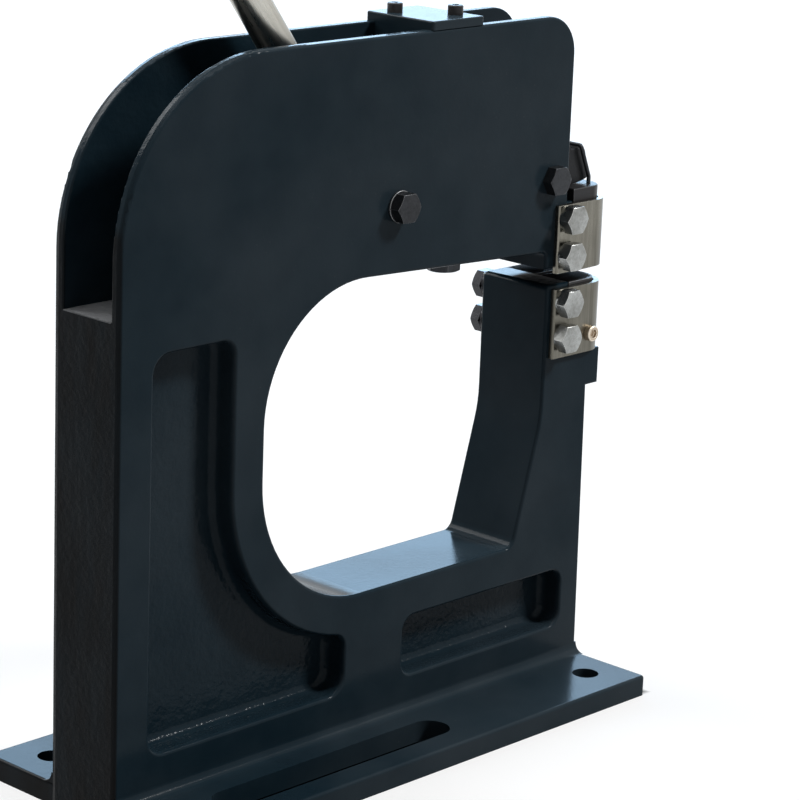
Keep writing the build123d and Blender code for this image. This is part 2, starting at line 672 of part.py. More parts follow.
def return_spring():
    """Coil spring between the rocker's tail and the top plate, as one unbroken wire of arcs."""
    edges = []
    for step in range(4 * SPRING_TURNS):
        (start, out), (end, into) = spring_point(step), spring_point(step + 1)
        gap, lean = end - start, out + into
        spread = 2 * (1 - out.dot(into))
        reach = (sqrt(gap.dot(lean) ** 2 + spread * gap.dot(gap)) - gap.dot(lean)) / spread
        near, far = start + out * reach, end - into * reach
        edges.append(TangentArc(start, (near + far) / 2, tangent=out))
        edges.append(TangentArc((near + far) / 2, end, tangent=far - near))
    print("return_spring least gap to itself: %.2f mm" % spring_gap())
    start, out = spring_point(0)
    wire = Wire([edge for arc in edges for edge in arc.edges()])
    return sweep(Plane(origin=start, z_dir=out) * Circle(SPRING_WIRE / 2), wire)


def nodes():
    """Every piece of the machine by name; a list is a group of like pieces."""
    return {
        "frame_casting": frame_casting(),
        "top_plate": top_plate(),
        "top_plate_screws": top_plate_screws(),
        "main_pivot_bolt": pivot_bolt(MAIN_X, 1),
        "main_pivot_nut": pivot_nut(MAIN_X, 1),
        "main_pivot_washers": main_pivot_washers(),
        "main_pivot_sleeve": pivot_sleeve(MAIN_X),
        "hub_spacers": pivot_spacers(MAIN_X, HUB_THICK),
        "front_pivot_bolt": pivot_bolt(FRONT_X, 0),
        "front_pivot_nut": pivot_nut(FRONT_X, 0),
        "front_pivot_sleeve": pivot_sleeve(FRONT_X),
        "rocker_spacers": pivot_spacers(FRONT_X, ROCKER_THICK),
        "stop_bolt": stop_bolt(),
        "stop_lock_nut": stop_lock_nut(),
        "return_spring": return_spring(),
        "upper_casing": casing(UPPER_CASING_Z, UPPER_BOLT_Z),
        "upper_casing_bolts": casing_bolts(UPPER_BOLT_Z),
        "upper_casing_washers": casing_washers(UPPER_BOLT_Z),
        "lower_casing": lower_casing(),
        "lower_casing_bolts": casing_bolts(LOWER_BOLT_Z),
        "lower_casing_washers": casing_washers(LOWER_BOLT_Z),
        "lower_casing_screw": casing_screw(),
        "lower_wedge": lower_wedge(),
        "handle_hub": handle_hub(),
        "handle_hub_bush": pivot_bush(MAIN_X, HUB_THICK),
        "handle_rod": handle_rod(),
        "handle_lock_nut": handle_lock_nut(),
        "handle_grip": handle_grip(),
        "rocker_arm": rocker_arm(),
        "rocker_bush": pivot_bush(FRONT_X, ROCKER_THICK),
        "ram_block": ram_block(),
        "wire_bail": wire_bail(),
        "upper_jaw_near": jaw_half(-1, True),
        "upper_jaw_far": jaw_half(1, True),
        "lower_jaw_near": jaw_half(-1, False),
        "lower_jaw_far": jaw_half(1, False),
    }


def main():
    """Write one STEP file per piece."""
    os.makedirs("parts", exist_ok=True)
    for name, shape in nodes().items():
        if isinstance(shape, list):
            shape = Compound(children=shape)
        export_step(shape, os.path.join("parts", name + ".step"))


main()
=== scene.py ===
"""Looks of a deep throat shrinker stretcher: its finishes, small details, studio and camera."""

import json
import logging
import math
from dataclasses import dataclass
from enum import Enum
from functools import cached_property

import bmesh
import bpy
from mathutils import Matrix, Vector


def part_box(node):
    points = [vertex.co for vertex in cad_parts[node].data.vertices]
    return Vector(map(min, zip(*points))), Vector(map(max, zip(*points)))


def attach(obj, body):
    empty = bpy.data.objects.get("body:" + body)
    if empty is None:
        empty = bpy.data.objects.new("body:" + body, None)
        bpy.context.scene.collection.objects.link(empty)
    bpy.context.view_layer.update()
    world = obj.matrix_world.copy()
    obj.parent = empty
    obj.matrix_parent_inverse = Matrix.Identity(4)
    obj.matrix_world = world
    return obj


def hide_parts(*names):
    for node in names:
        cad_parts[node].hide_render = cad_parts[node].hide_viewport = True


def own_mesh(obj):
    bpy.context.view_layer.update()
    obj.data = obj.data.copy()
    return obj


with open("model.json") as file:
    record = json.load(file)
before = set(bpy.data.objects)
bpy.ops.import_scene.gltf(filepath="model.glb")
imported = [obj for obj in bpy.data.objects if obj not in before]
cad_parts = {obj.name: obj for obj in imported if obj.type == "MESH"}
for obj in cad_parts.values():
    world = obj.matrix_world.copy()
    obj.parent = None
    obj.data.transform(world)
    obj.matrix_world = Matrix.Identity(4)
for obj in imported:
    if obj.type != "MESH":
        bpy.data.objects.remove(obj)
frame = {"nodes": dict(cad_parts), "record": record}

LOG = logging.getLogger("shrinker_stretcher")
MM = 0.001
HANDLE_LEAN = math.radians(37.6)
EDGE_FACE = "worn_edge"
Colour = tuple[float, float, float]
Point = tuple[float, float, float]
Span = tuple[float, float]
Socket = bpy.types.NodeSocket
RISING: Span = (0.0, 1.0)
FALLING: Span = (1.0, 0.0)
WHITE: Colour = (1.0, 1.0, 1.0)
BLACK: Colour = (0.0, 0.0, 0.0)


class Side(Enum):
    """The two sides of the machine, as a sign along Y."""

    NEAR = -1
    FAR = 1


class Level(Enum):
    """The two levels of the jaw head, as the first word of their pieces' names."""

    UPPER = "upper"
    LOWER = "lower"


class Grain(Enum):
    """Directions in which a metal surface was drawn or turned, as stretches of its pattern."""

    ALONG_X = (0.06, 1.0, 1.0)
    ALONG_Y = (1.0, 0.06, 1.0)
    ALONG_Z = (1.0, 1.0, 0.06)
    NONE = (1.0, 1.0, 1.0)


class NodeSheet:
    """A node tree that is being wired, with short ways to add nodes and links."""

    def __init__(self, tree: bpy.types.NodeTree) -> None:
        """Keep the tree that the nodes go into."""
        self.tree = tree

    def add(self, kind: str, settings: dict | None = None, **inputs: object) -> bpy.types.Node:
        """Add one node and fill its inputs.

        Args:
            kind: Blender's type name of the node.
            settings: Properties of the node itself, by name.
            inputs: Input values or sockets, by socket name with spaces written as underscores.

        Returns:
            The new node.
        """
        node = self.tree.nodes.new(kind)
        for name, value in (settings or {}).items():
            setattr(node, name, value)
        for name, value in inputs.items():
            self.feed(node.inputs[name.replace("_", " ")], value)
        return node

    def feed(self, socket: Socket, value: object) -> None:
        """Link a socket into another, or set its plain value.

        Args:
            socket: The input to fill.
            value: Another node's output, or a plain value.
        """
        if isinstance(value, Socket):
            self.tree.links.new(value, socket)
        elif isinstance(value, tuple) and socket.type == "RGBA":
            socket.default_value = (*value, 1.0)
        else:
            socket.default_value = value

    def maths(self, operation: str, first: object, second: object = 0.0) -> Socket:
        """Combine two numbers.

        Args:
            operation: Name of the sum, such as MULTIPLY.
            first: A value or a socket.
            second: A value or a socket.

        Returns:
            The socket that holds the result.
        """
        node = self.tree.nodes.new("ShaderNodeMath")
        node.operation = operation
        self.feed(node.inputs[0], first)
        self.feed(node.inputs[1], second)
        return node.outputs[0]

    def mix(self, share: object, low: object, high: object) -> Socket:
        """Mix two colours.

        Args:
            share: How much of the second colour shows, from 0 to 1.
            low: The first colour.
            high: The second colour.

        Returns:
            The socket that holds the mixed colour.
        """
        node = self.tree.nodes.new("ShaderNodeMix")
        node.data_type = "RGBA"
        # Inputs 6 and 7 and output 2 of this node are its colours.
        self.feed(node.inputs[0], share)
        self.feed(node.inputs[6], low)
        self.feed(node.inputs[7], high)
        return node.outputs[2]

    def spread(self, value: object, source: Span, target: Span = RISING) -> Socket:
        """Map a number from one range to another, held at the ends.

        Args:
            value: The number.
            source: Lowest and highest number that come in.
            target: Numbers that they turn into.

        Returns:
            The socket that holds the mapped number.
        """
        node = self.tree.nodes.new("ShaderNodeMapRange")
        for index, number in enumerate((value, *source, *target)):
            self.feed(node.inputs[index], number)
        return node.outputs[0]

    def axes(self, place: Socket) -> tuple[Socket, ...]:
        """The X, Y and Z of a place as numbers."""
        return tuple(self.add("ShaderNodeSeparateXYZ", Vector=place).outputs)

    def length(self, vector: Socket) -> Socket:
        """Length of a vector."""
        return self.add("ShaderNodeVectorMath", {"operation": "LENGTH"}, Vector=vector).outputs["Value"]

    def looked_at(self) -> Socket:
        """Tell where the camera looks at a surface, straight, by reflection or through something clear.

        Returns:
            The socket that holds 1 there, and else 0.
        """
        path = self.add("ShaderNodeLightPath")
        seen = self.maths("MAXIMUM", path.outputs["Is Camera Ray"], path.outputs["Is Glossy Ray"])
        return self.maths("MAXIMUM", seen, path.outputs["Is Transmission Ray"])


class EffectLibrary:
    """Shader groups for effects that several finishes share, each built when it is first asked for."""

    LUMP_SCALE = 0.11
    COARSE_LINES = 0.27
    LINE_MASK: Span = (0.7, 1.3)
    SMUDGE_MASK: Span = (0.42, 0.68)
    DUST_SCALE = 26.0
    DUST_SIZE: Span = (0.04, 0.12)
    DUST_AREA: Span = (0.5, 0.7)

    def _group(
        self, name: str, takes: tuple[str, ...], gives: tuple[str, ...]
    ) -> tuple[NodeSheet, bpy.types.NodeOutputs, bpy.types.NodeInputs]:
        """Start a group that takes coordinates and numbers, and gives numbers.

        Args:
            name: The group's name.
            takes: Names of the numbers that it takes besides its coordinates.
            gives: Names of the numbers that it gives.

        Returns:
            The sheet to wire, what the group takes, and the sockets of what it gives.
        """
        tree = bpy.data.node_groups.new(name, "ShaderNodeTree")
        tree.interface.new_socket(name="Vector", in_out="INPUT", socket_type="NodeSocketVector")
        for way, titles in (("INPUT", takes), ("OUTPUT", gives)):
            for title in titles:
                tree.interface.new_socket(name=title, in_out=way, socket_type="NodeSocketFloat")
        entry = tree.nodes.new("NodeGroupInput")
        leave = tree.nodes.new("NodeGroupOutput")
        return NodeSheet(tree), entry.outputs, leave.inputs

    @cached_property
    def cast_skin(self) -> bpy.types.NodeTree:
        """Low lumps and a fine peel, as on enamel over a sand casting.

        Returns:
            The group, with a height and a mask of its lumps.
        """
        sheet, given, made = self._group("cast_skin", ("Scale", "Lumps"), ("Height", "Mask"))
        peel = sheet.add("ShaderNodeTexNoise", Vector=given["Vector"], Scale=given["Scale"], Detail=3.0)
        wide = sheet.maths("MULTIPLY", given["Scale"], self.LUMP_SCALE)
        lumps = sheet.add("ShaderNodeTexNoise", Vector=given["Vector"], Scale=wide, Detail=2.0)
        raised = sheet.maths("MULTIPLY", lumps.outputs[0], given["Lumps"])
        sheet.feed(made["Height"], sheet.maths("ADD", peel.outputs[0], raised))
        sheet.feed(made["Mask"], lumps.outputs[0])
        return sheet.tree

    @cached_property
    def drawn_lines(self) -> bpy.types.NodeTree:
        """Fine parallel lines, as left by grinding, drawing or brushing.

        Returns:
            The group, with a height and a mask of its lines.
        """
        sheet, given, made = self._group("drawn_lines", ("Scale",), ("Height", "Mask"))
        fine = sheet.add("ShaderNodeTexNoise", Vector=given["Vector"], Scale=given["Scale"], Detail=2.0)
        wide = sheet.maths("MULTIPLY", given["Scale"], self.COARSE_LINES)
        coarse = sheet.add("ShaderNodeTexNoise", Vector=given["Vector"], Scale=wide, Detail=4.0)
        both = sheet.maths("ADD", fine.outputs[0], coarse.outputs[0])
        sheet.feed(made["Height"], both)
        sheet.feed(made["Mask"], sheet.spread(both, self.LINE_MASK))
        return sheet.tree

    @cached_property
    def handling(self) -> bpy.types.NodeTree:
        """Soft smudges and dust that change a surface's gloss and tone.

        Returns:
            The group, with a mask of its smudges and one of its specks of dust.
        """
        sheet, given, made = self._group("handling", ("Scale",), ("Smudge", "Speckle"))
        cloud = sheet.add("ShaderNodeTexNoise", Vector=given["Vector"], Scale=given["Scale"], Detail=5.0)
        close = sheet.maths("MULTIPLY", given["Scale"], self.DUST_SCALE)
        dots = sheet.add("ShaderNodeTexVoronoi", Vector=given["Vector"], Scale=close)
        speck = sheet.spread(dots.outputs["Distance"], self.DUST_SIZE, FALLING)
        dusty = sheet.spread(cloud.outputs[0], self.DUST_AREA)
        sheet.feed(made["Smudge"], sheet.spread(cloud.outputs[0], self.SMUDGE_MASK))
        sheet.feed(made["Speckle"], sheet.maths("MULTIPLY", speck, dusty))
        return sheet.tree


EFFECTS = EffectLibrary()


class FinishSheet(NodeSheet):
    """A material that is being wired: object coordinates, effects, and one surface shader."""

    def __init__(self, name: str) -> None:
        """Start a material with an empty tree.

        Args:
            name: The material's name.
        """
        self.material = bpy.data.materials.new(name)
        self.material.use_nodes = True
        super().__init__(self.material.node_tree)
        self.tree.nodes.clear()
        self.place = self.add("ShaderNodeTexCoord").outputs["Object"]
        self.shader = self.add("ShaderNodeBsdfPrincipled")
        leave = self.add("ShaderNodeOutputMaterial")
        self.feed(leave.inputs["Surface"], self.shader.outputs[0])

    def effect(self, group: bpy.types.NodeTree, **inputs: object) -> bpy.types.Node:
        """Place a shared effect with its own values."""
        return self.add("ShaderNodeGroup", {"node_tree": group}, **inputs)

    def stretched(self, stretch: Point, turn: Point = (0.0, 0.0, 0.0)) -> Socket:
        """Object coordinates turned and stretched for a pattern."""
        turned = self.add("ShaderNodeMapping", Vector=self.place, Rotation=turn)
        return self.add("ShaderNodeMapping", Vector=turned.outputs[0], Scale=stretch).outputs[0]

    def relief(self, height: object, depth: float = 1.0) -> None:
        """Give the surface a relief.

        Args:
            height: Socket with the pattern.
            depth: Depth in metres that a height of 1 stands for.
        """
        bump = self.add("ShaderNodeBump", Height=height, Distance=depth, Strength=1.0)
        self.feed(self.shader.inputs["Normal"], bump.outputs[0])

    def surface(self, **inputs: object) -> bpy.types.Material:
        """Fill the shader's inputs and hand over the material.

        Args:
            inputs: Values or sockets, by input name with spaces written as underscores.

        Returns:
            The material.
        """
        for name, value in inputs.items():
            self.feed(self.shader.inputs[name.replace("_", " ")], value)
        return self.material


@dataclass(frozen=True)
class SandMarks:
    """Sandy relief in the casting's pockets and slot, which were not machined as the throat was."""

    depth: float
    scale: float
    lumps: float = 2.2
    inside_y: float = 19.4 * MM
    rim: float = 1.5 * MM
    throat_x: float = -47.0 * MM
    throat_z: float = 58.0 * MM

    def height(self, sheet: FinishSheet) -> Socket:
        """Wire the marks.

        Args:
            sheet: The material.

        Returns:
            Height of the marks in metres.
        """
        along, across, up = sheet.axes(sheet.place)
        off = sheet.maths("ABSOLUTE", across)
        inside = sheet.spread(off, (self.inside_y - self.rim, self.inside_y), FALLING)
        front = sheet.maths("GREATER_THAN", along, self.throat_x)
        above = sheet.maths("GREATER_THAN", up, self.throat_z)
        pocket = sheet.maths("SUBTRACT", 1.0, sheet.maths("MULTIPLY", front, above))
        sand = sheet.effect(EFFECTS.cast_skin, Vector=sheet.place, Scale=self.scale, Lumps=self.lumps)
        marks = sheet.maths("MULTIPLY", sand.outputs["Height"], self.depth)
        return sheet.maths("MULTIPLY", marks, sheet.maths("MULTIPLY", inside, pocket))


@dataclass(frozen=True)
class DarkerBack:
    """Darker, browner tone in upright streaks on the casting's back, which is also rougher."""

    tone: Colour
    back_x: float
    blend: float = 0.8 * MM
    rough: float = 0.06
    streak_scale: float = 90.0
    streak_stretch: Point = (1.0, 1.0, 0.22)
    streak_mask: Span = (0.35, 0.7)
    streak_share: Span = (0.6, 1.0)

    def behind(self, sheet: FinishSheet) -> Socket:
        """Mask of the back."""
        return sheet.spread(sheet.axes(sheet.place)[0], (self.back_x, self.back_x + self.blend), FALLING)

    def streaks(self, sheet: FinishSheet) -> Socket:
        """Wire the streaks.

        Args:
            sheet: The material.

        Returns:
            How much of the darker tone shows.
        """
        upright = sheet.stretched(self.streak_stretch)
        streaks = sheet.add("ShaderNodeTexNoise", Vector=upright, Scale=self.streak_scale, Detail=6.0)
        return sheet.spread(streaks.outputs[0], self.streak_mask, self.streak_share)


@dataclass(frozen=True)
class PaintedLedgeLight:
    """Painted light on the ledge at the foot of the casting's slot: a pale patch for the light and sheen it
    catches, fading towards the front.
    """

    tone: Colour
    top: float = 221.0 * MM
    within: float = 0.5 * MM
    half_width: float = 14.9 * MM
    fade: Span = (-140.0 * MM, -70.0 * MM)

    def share(self, sheet: FinishSheet) -> Socket:
        """Wire the painted light.

        Args:
            sheet: The material.

        Returns:
            How much of the painted light shows over the paint.
        """
        along, across, up = sheet.axes(sheet.place)
        between = sheet.maths("LESS_THAN", sheet.maths("ABSOLUTE", across), self.half_width)
        off = sheet.maths("ABSOLUTE", sheet.maths("SUBTRACT", up, self.top))
        level = sheet.maths("LESS_THAN", off, self.within)
        rear = sheet.spread(along, self.fade, FALLING)
        return sheet.maths("MULTIPLY", level, sheet.maths("MULTIPLY", between, rear))


@dataclass(frozen=True)
class EnamelFinish:
    """Gloss enamel over cast or rolled metal, with scuffs and dust."""

    name: str
    tone: Colour
    light_tone: Colour
    scuff_tone: Colour
    roughness: float
    gloss: float
    peel: float
    peel_depth: float
    lumps: float
    tone_mask: Span = (0.35, 0.65)
    smudge_scale: float = 9.0
    scuff_share: float = 0.5
    scuff_rough: float = 0.12
    dust_tone: Colour = (0.10, 0.10, 0.10)
    dust_share: float = 0.2
    sand: SandMarks | None = None
    back: DarkerBack | None = None
    ledge: PaintedLedgeLight | None = None

    def material(self) -> bpy.types.Material:
        """Wire the enamel: two close tones, a peel with low lumps, scuffs, dust, a darker back and painted
        light on the ledge.

        Returns:
            The finished material.
        """
        sheet = FinishSheet(self.name)
        skin = sheet.effect(EFFECTS.cast_skin, Vector=sheet.place, Scale=self.peel, Lumps=self.lumps)
        touch = sheet.effect(EFFECTS.handling, Vector=sheet.place, Scale=self.smudge_scale)
        tone = sheet.mix(sheet.spread(skin.outputs["Mask"], self.tone_mask), self.tone, self.light_tone)
        scuffed = sheet.maths("MULTIPLY", touch.outputs["Smudge"], self.scuff_share)
        tone = sheet.mix(scuffed, tone, self.scuff_tone)
        worn = sheet.maths("MULTIPLY", touch.outputs["Smudge"], self.scuff_rough)
        rough = sheet.maths("ADD", worn, self.roughness)
        height = sheet.maths("MULTIPLY", skin.outputs["Height"], self.peel_depth)
        if self.sand is not None:
            height = sheet.maths("ADD", height, self.sand.height(sheet))
        if self.back is not None:
            behind = self.back.behind(sheet)
            back_share = sheet.maths("MULTIPLY", behind, self.back.streaks(sheet))
            tone = sheet.mix(back_share, tone, self.back.tone)
            rough = sheet.maths("ADD", rough, sheet.maths("MULTIPLY", behind, self.back.rough))
        # Painted light: a pale patch on the ledge at the foot of the slot.
        if self.ledge is not None:
            tone = sheet.mix(self.ledge.share(sheet), tone, self.ledge.tone)
        specks = sheet.maths("MULTIPLY", touch.outputs["Speckle"], self.dust_share)
        tone = sheet.mix(specks, tone, self.dust_tone)
        sheet.relief(height)
        return sheet.surface(Base_Color=tone, Roughness=rough, Specular_IOR_Level=self.gloss)


@dataclass(frozen=True)
class MetalFinish:
    """Bare or plated metal with the lines that its making left."""

    name: str
    tone: Colour
    dull_tone: Colour
    roughness: float
    line_scale: float
    spread: float = 0.2
    grain: Grain = Grain.NONE
    line_depth: float = 0.010 * MM
    metallic: float = 1.0
    edge_wear_and_highlight_tone: Colour | None = None
    far_shade_tone: Colour | None = None
    smudge_scale: float = 14.0
    turn: Point = (0.0, 0.0, 0.0)
    line_share: float = 0.45
    smudge_share: float = 0.55
    edge_wear_and_highlight_mask: Span = (0.0, 0.5)
    edge_wear_and_highlight_share: Span = (0.25, 0.9)

    def material(self) -> bpy.types.Material:
        """Wire the metal: drawn lines in tone, gloss and relief, smudges, edges lighter from wear and a
        painted highlight, and painted shade on its far side.

        Returns:
            The finished material.
        """
        sheet = FinishSheet(self.name)
        drawn = sheet.stretched(self.grain.value, self.turn)
        lines = sheet.effect(EFFECTS.drawn_lines, Vector=drawn, Scale=self.line_scale)
        touch = sheet.effect(EFFECTS.handling, Vector=sheet.place, Scale=self.smudge_scale)
        dull = sheet.maths("MULTIPLY", touch.outputs["Smudge"], self.smudge_share)
        share = sheet.maths("ADD", sheet.maths("MULTIPLY", lines.outputs["Mask"], self.line_share), dull)
        tone = sheet.mix(share, self.tone, self.dull_tone)
        # Broken edges get a lighter tone in patches: partly wear, partly a painted highlight where the
        # edges catch the light.
        if self.edge_wear_and_highlight_tone is not None:
            edge = sheet.add("ShaderNodeAttribute", {"attribute_name": EDGE_FACE})
            edge_wear_and_highlight = sheet.spread(touch.outputs["Smudge"], self.edge_wear_and_highlight_mask, self.edge_wear_and_highlight_share)
            tone = sheet.mix(sheet.maths("MULTIPLY", edge.outputs["Fac"], edge_wear_and_highlight), tone, self.edge_wear_and_highlight_tone)
        # Painted shade: the far side (Y above 0) gets its own darker tone, standing for the shade it is in.
        if self.far_shade_tone is not None:
            far = sheet.maths("GREATER_THAN", sheet.axes(sheet.place)[1], 0.0)
            tone = sheet.mix(far, tone, self.far_shade_tone)
        rough = sheet.maths("ADD", sheet.maths("MULTIPLY", share, self.spread), self.roughness)
        sheet.relief(lines.outputs["Height"], self.line_depth)
        return sheet.surface(Base_Color=tone, Roughness=rough, Metallic=self.metallic)


@dataclass(frozen=True)
class RubberFinish:
    """Moulded rubber with a fine pebble."""

    name: str
    tone: Colour
    worn_tone: Colour
    roughness: float
    gloss: float
    pebble_scale: float = 1400.0
    pebble_depth: float = 0.12 * MM
    smudge_scale: float = 22.0
    polish: float = 0.15

    def material(self) -> bpy.types.Material:
        """Wire the rubber: a pebbled skin, polished a little where a hand rubs it.

        Returns:
            The finished material.
        """
        sheet = FinishSheet(self.name)
        pebble = sheet.add("ShaderNodeTexVoronoi", Vector=sheet.place, Scale=self.pebble_scale)
        touch = sheet.effect(EFFECTS.handling, Vector=sheet.place, Scale=self.smudge_scale)
        tone = sheet.mix(touch.outputs["Smudge"], self.tone, self.worn_tone)
        polish = sheet.maths("MULTIPLY", touch.outputs["Smudge"], self.polish)
        rough = sheet.maths("SUBTRACT", self.roughness, polish)
        sheet.relief(pebble.outputs["Distance"], self.pebble_depth)
        return sheet.surface(Base_Color=tone, Roughness=rough, Specular_IOR_Level=self.gloss)


class Paintbox:
    """Every finish of the machine, made into a material once and given out by its slot's name."""

    FINISHES = (
        EnamelFinish(
            "frame_paint", tone=(0.0080, 0.0180, 0.0260), light_tone=(0.0108, 0.0220, 0.0305),
            scuff_tone=(0.036, 0.047, 0.056), roughness=0.13, gloss=0.05, peel=520.0,
            peel_depth=0.045 * MM, lumps=1.4, sand=SandMarks(depth=0.28 * MM, scale=260.0),
            back=DarkerBack(tone=(0.0045, 0.0040, 0.0038), back_x=-149.4 * MM),
            # Painted light: the ledge at the slot's foot gets a pale grey patch for the light it catches.
            ledge=PaintedLedgeLight(tone=(0.165, 0.17, 0.175)),
        ),
        EnamelFinish(
            "plate_paint", tone=(0.010, 0.021, 0.029), light_tone=(0.014, 0.025, 0.034),
            scuff_tone=(0.034, 0.044, 0.052), roughness=0.16, gloss=0.08, peel=700.0,
            peel_depth=0.030 * MM, lumps=0.6,
        ),
        EnamelFinish(
            "lever_cast", tone=(0.008, 0.009, 0.011), light_tone=(0.013, 0.014, 0.016),
            scuff_tone=(0.024, 0.025, 0.027), roughness=0.36, gloss=0.15, peel=650.0,
            peel_depth=0.080 * MM, lumps=1.0,
        ),
        # The edge tones below are lighter than their metals: partly wear, partly painted highlight.
        MetalFinish(
            "pivot_dark", tone=(0.040, 0.043, 0.048), dull_tone=(0.012, 0.013, 0.015), roughness=0.26,
            line_scale=900.0, spread=0.3, line_depth=0.020 * MM, metallic=0.8,
            edge_wear_and_highlight_tone=(0.18, 0.185, 0.19),
        ),
        MetalFinish(
            "black_screw", tone=(0.012, 0.012, 0.013), dull_tone=(0.006, 0.006, 0.007), roughness=0.32,
            line_scale=1200.0, metallic=0.5, edge_wear_and_highlight_tone=(0.05, 0.05, 0.055),
        ),
        # Painted shade: the bolts on the far side get a near-black tone for the shade they stand in; the
        # near ones stay bright zinc.
        MetalFinish(
            "bright_zinc", tone=(0.40, 0.41, 0.40), dull_tone=(0.17, 0.17, 0.16), roughness=0.18,
            line_scale=700.0, spread=0.24, line_depth=0.012 * MM, edge_wear_and_highlight_tone=(0.62, 0.63, 0.62),
            far_shade_tone=(0.030, 0.031, 0.034), smudge_scale=60.0,
        ),
        MetalFinish(
            "nickel_sheet", tone=(0.21, 0.20, 0.17), dull_tone=(0.070, 0.066, 0.052), roughness=0.22,
            line_scale=900.0, grain=Grain.ALONG_Z, line_depth=0.012 * MM, edge_wear_and_highlight_tone=(0.45, 0.44, 0.40),
        ),
        MetalFinish(
            "ground_steel", tone=(0.50, 0.51, 0.52), dull_tone=(0.36, 0.36, 0.36), roughness=0.22,
            line_scale=2200.0, grain=Grain.ALONG_Y,
        ),
        MetalFinish(
            "spring_steel", tone=(0.26, 0.27, 0.29), dull_tone=(0.15, 0.15, 0.15), roughness=0.28,
            line_scale=1500.0,
        ),
        MetalFinish(
            "handle_chrome", tone=(0.52, 0.51, 0.465), dull_tone=(0.34, 0.33, 0.29), roughness=0.22,
            line_scale=1300.0, spread=0.14, grain=Grain.ALONG_Z, line_depth=0.008 * MM,
            turn=(0.0, HANDLE_LEAN, 0.0),
        ),
        MetalFinish(
            "ram_black", tone=(0.016, 0.016, 0.018), dull_tone=(0.008, 0.008, 0.009), roughness=0.34,
            line_scale=1500.0, grain=Grain.ALONG_X, line_depth=0.012 * MM, metallic=0.6,
            edge_wear_and_highlight_tone=(0.14, 0.14, 0.145),
        ),
        MetalFinish(
            "jaw_steel", tone=(0.075, 0.075, 0.08), dull_tone=(0.03, 0.03, 0.03), roughness=0.34,
            line_scale=1900.0, grain=Grain.ALONG_X, line_depth=0.012 * MM,
            edge_wear_and_highlight_tone=(0.22, 0.22, 0.225),
        ),
        MetalFinish(
            "bush_bronze", tone=(0.56, 0.38, 0.19), dull_tone=(0.38, 0.25, 0.12), roughness=0.25,
            line_scale=1800.0, grain=Grain.ALONG_Y,
        ),
        MetalFinish(
            "screw_brass", tone=(0.58, 0.49, 0.38), dull_tone=(0.30, 0.22, 0.16), roughness=0.22,
            line_scale=1100.0, edge_wear_and_highlight_tone=(0.72, 0.66, 0.56),
        ),
        RubberFinish(
            "grip_black", tone=(0.011, 0.011, 0.012), worn_tone=(0.016, 0.016, 0.017), roughness=0.6,
            gloss=0.2,
        ),
    )

    def __init__(self) -> None:
        """Make every material."""
        self.materials = {finish.name: finish.material() for finish in self.FINISHES}


def new_object(name: str, data: bpy.types.ID) -> bpy.types.Object:
    """Put a new object into the scene.

    Args:
        name: Its name.
        data: Its mesh, lamp or camera.

    Returns:
        The object.
    """
    thing = bpy.data.objects.new(name, data)
    bpy.context.scene.collection.objects.link(thing)
    return thing


def settle(piece: bpy.types.Object) -> bpy.types.Mesh:
    """Turn what a piece's modifiers make into its plain mesh.

    Args:
        piece: The piece.

    Returns:
        Its new mesh.
    """
    scene_state = bpy.context.evaluated_depsgraph_get()
    mesh = bpy.data.meshes.new_from_object(piece.evaluated_get(scene_state))
    piece.modifiers.clear()
    piece.data = mesh
    return mesh


def upright_to(along: Vector) -> Matrix:
    """Turn that lays the Z axis along a direction."""
    return Vector((0, 0, 1)).rotation_difference(along).to_matrix().to_4x4()


class GeometryTree(NodeSheet):
    """A Geometry Nodes tree with named sizes that ends in a plain mesh with its material."""

    def __init__(self, name: str, numbers: tuple[str, ...], counts: tuple[str, ...] = ()) -> None:
        """Start a tree.

        Args:
            name: The tree's name.
            numbers: Names of its inputs that are any number.
            counts: Names of its inputs that are whole numbers.
        """
        tree = bpy.data.node_groups.new(name, "GeometryNodeTree")
        tree.is_modifier = True
        self.identifiers = {}
        kinds = {"NodeSocketFloat": numbers, "NodeSocketInt": counts, "NodeSocketMaterial": ("Finish",)}
        for kind, titles in kinds.items():
            for title in titles:
                socket = tree.interface.new_socket(name=title, in_out="INPUT", socket_type=kind)
                self.identifiers[title] = socket.identifier
        tree.interface.new_socket(name="Geometry", in_out="OUTPUT", socket_type="NodeSocketGeometry")
        super().__init__(tree)
        self.given = tree.nodes.new("NodeGroupInput").outputs

    def close(self, shape: Socket) -> None:
        """End the tree: instances become mesh, and the mesh gets its material.

        Args:
            shape: Socket with what the tree made.
        """
        real = self.add("GeometryNodeRealizeInstances", Geometry=shape)
        done = self.add("GeometryNodeSetMaterial", Geometry=real.outputs[0], Material=self.given["Finish"])
        leave = self.tree.nodes.new("NodeGroupOutput")
        self.feed(leave.inputs[0], done.outputs[0])

    def position(self) -> tuple[Socket, ...]:
        """The X, Y and Z of each point."""
        return self.axes(self.add("GeometryNodeInputPosition").outputs[0])

    def circle(self, steps: object, radius: Socket) -> Socket:
        """A round curve of so many steps."""
        return self.add("GeometryNodeCurvePrimitiveCircle", Resolution=steps, Radius=radius).outputs[0]

    def swept(self, curve: Socket, section: Socket) -> Socket:
        """Sweep a section along a curve into a smooth tube with closed ends."""
        tube = self.add("GeometryNodeCurveToMesh", Curve=curve, Profile_Curve=section, Fill_Caps=True)
        return self.add("GeometryNodeSetShadeSmooth", Geometry=tube.outputs[0]).outputs[0]

    def piece(self, name: str, place: Matrix, **sizes: object) -> bpy.types.Object:
        """Run the tree once and keep its result as a plain mesh.

        Args:
            name: Name of the new piece.
            place: Where it goes in the machine's frame.
            sizes: Values of the named inputs, with spaces written as underscores.

        Returns:
            The piece, with its place in its mesh.
        """
        piece = new_object(name, bpy.data.meshes.new(name))
        modifier = piece.modifiers.new("maker", "NODES")
        modifier.node_group = self.tree
        for title, value in sizes.items():
            modifier[self.identifiers[title.replace("_", " ")]] = value
        settle(piece).transform(place)
        return piece


